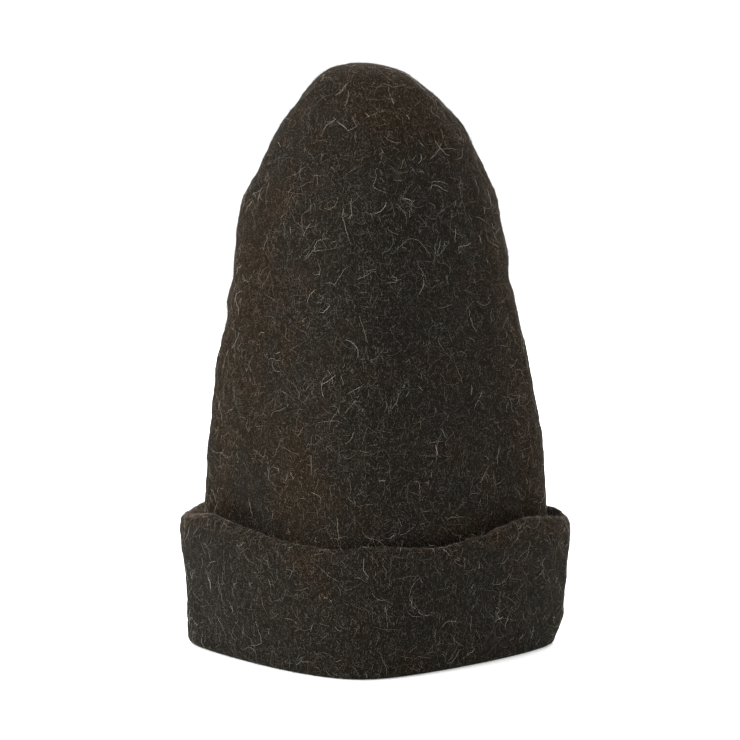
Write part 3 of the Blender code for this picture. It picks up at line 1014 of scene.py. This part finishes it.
def heights(rng, length, stations, layer):
    """Height over the felt along each hair, with s from 0 to 1 along it: base + arch * sin(pi s)^2 +
    tail * s^4, plus a wave that pulls stretches of it under the surface, as matting does."""
    s = np.linspace(0, 1, stations)
    count = len(length)
    arch = layer["arch"] * rng.random(count)[:, None] * np.sin(math.pi * s) ** 2
    turns = (length / DIP_LENGTH)[:, None] * s + rng.random(count)[:, None]
    tail = layer["tail"] * (rng.random(count) ** TAIL_PULL)[:, None] * s**4
    return HAIR_BASE + arch + layer["dip"] * np.sin(2 * math.pi * turns) + tail


print("hairs in all:", columns(HAIRS, HAIR_COLUMNS)["count"].sum())


# %% Hair by hair
clumps = np.clip(1 + CLUMPS * wave_field(form, "hair_clumps"), LEAST_CLUMP, None)
wool_share = {"grey": 1 - brown + STRAY_GREY, "brown": brown + STRAY_BROWN, "pale": 1.0}
rim_middle = first_row["rim"] + RIM_ROWS / 2
at_rim = np.exp(-(((row_number - rim_middle) / RIM_FUZZ_ROWS) ** 2))[:, None]
where_share = {"all": 1.0, "rim": at_rim}
for values in HAIRS:
    layer = dict(zip(HAIR_COLUMNS, values))
    layer.update(zip(HABIT_COLUMNS, HABITS[layer["habit"]]))
    rng = np.random.default_rng(layer["seed"])
    count, steps = layer["count"], layer["steps"]
    spare = layer["longest"] - layer["shortest"]
    lengths = layer["shortest"] + spare * rng.random(count) ** LENGTH_PULL
    weight = clumps * wool_share[layer["wool"]] * where_share[layer["where"]]
    points, normals = walk(rng, count, steps, lengths, layer["curl"], layer["kinks"], weight)
    spare = layer["thickest"] - layer["thinnest"]
    radius = (layer["thinnest"] + spare * rng.random(count) ** WIDTH_PULL) / 2
    tone = rng.beta(layer["dark_pull"], layer["pale_pull"], count)
    warmth = np.clip(brown_share(points[:, 0]) + rng.normal(0, WARMTH_SPREAD, count), 0, 1)
    lift = heights(rng, lengths, steps + 1, layer)
    mesh = strands(layer["name"], points, normals, radius, tone, warmth, lift)
    mesh.materials.append(WOOLS[layer["wool"]])
    hair = bpy.data.objects.new(layer["name"], mesh)
    bpy.context.scene.collection.objects.link(hair)
    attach(hair, "root")

# %% [markdown]
# ## Stage
#
# The hat stands on a plain pale sheet that comes out white, with only a faint shadow close under the
# fold. The sheet glows a little, as paper does with a lamp under it.
#
# The light is a white room with four large soft lamps. The main one stands at the left front and makes
# the left flank about two thirds brighter than the right one, and the front ridge divides them. A weak
# one behind on the right draws the right edge, a wide one behind the hat stands for a lit backdrop and
# gives both flanks their pale rim, and one overhead lights the top.

# %% Floor
# half of the sheet's width, in m
REACH = 30.0
corners = [(-REACH, -REACH, 0), (REACH, -REACH, 0), (REACH, REACH, 0), (-REACH, REACH, 0)]
floor_mesh = bpy.data.meshes.new("floor")
floor_mesh.from_pydata(corners, [], [(0, 1, 2, 3)])
floor = bpy.data.objects.new("floor", floor_mesh)
bpy.context.scene.collection.objects.link(floor)
paper, tree, shader = new_material("white_paper")
set_inputs(shader, {"Base Color": srgb("#e7e7e7"), "Roughness": 0.9})
set_inputs(shader, {"Emission Color": srgb("#ffffff"), "Emission Strength": 0.35})
floor_mesh.materials.append(paper)
print("floor, m:", 2 * REACH, "square")

# %% Light
world = bpy.data.worlds.new("white_room")
world.use_nodes = True
background = world.node_tree.nodes["Background"]
set_inputs(background, {"Color": srgb("#ffffff"), "Strength": 1.05})
bpy.context.scene.world = world
bpy.context.scene.view_settings.view_transform = "Standard"

# places, aims and sizes in m, power in W
LAMP_COLUMNS = ("name", "place", "aim", "size", "power")
LAMPS = (
    ("main", (-1.445, -0.834, 0.824), (0, 0, 0.15), 1.0, 35.5),
    ("right_edge", (1.278, 1.073, 0.824), (0, 0, 0.15), 1.0, 6.9),
    ("lit_backdrop", (0, 1.6, 0.9), (0, 0, 0.15), 2.5, 89.0),
    ("overhead", (0, 0.2, 2.4), (0, 0, 0), 2.0, 45.0),
)
for values in LAMPS:
    lamp = dict(zip(LAMP_COLUMNS, values))
    light = bpy.data.lights.new(lamp["name"], "AREA")
    light.size = lamp["size"]
    light.energy = lamp["power"]
    lamp_object = bpy.data.objects.new(lamp["name"], light)
    lamp_object.location = lamp["place"]
    lamp_object.visible_camera = False
    direction = Vector(lamp["aim"]) - Vector(lamp["place"])
    lamp_object.rotation_euler = direction.to_track_quat("-Z", "Y").to_euler()
    bpy.context.scene.collection.objects.link(lamp_object)
print("lamps:", [values[0] for values in LAMPS])

# %% Camera
# place and height in m, the focal length and the picture's width in pixels, the sensor in mm
CAMERA_PLACE = (-0.0031, -1.463, 0.3135)
AIM_HEIGHT = 0.1651
FOCAL_PIXELS = 2468.0
IMAGE_PIXELS = 740.0
SENSOR_WIDTH = 36.0
camera_data = bpy.data.cameras.new("camera")
camera_data.sensor_width = SENSOR_WIDTH
camera_data.lens = FOCAL_PIXELS / IMAGE_PIXELS * SENSOR_WIDTH
camera = bpy.data.objects.new("camera", camera_data)
camera.location = CAMERA_PLACE
pitch = math.atan2(CAMERA_PLACE[2] - AIM_HEIGHT, -CAMERA_PLACE[1])
camera.rotation_euler = (math.pi / 2 - pitch, 0.0, 0.0)
bpy.context.scene.collection.objects.link(camera)
bpy.context.scene.camera = camera
print("lens, mm:", round(camera_data.lens, 2), "pitch, degrees:", round(math.degrees(pitch), 2))
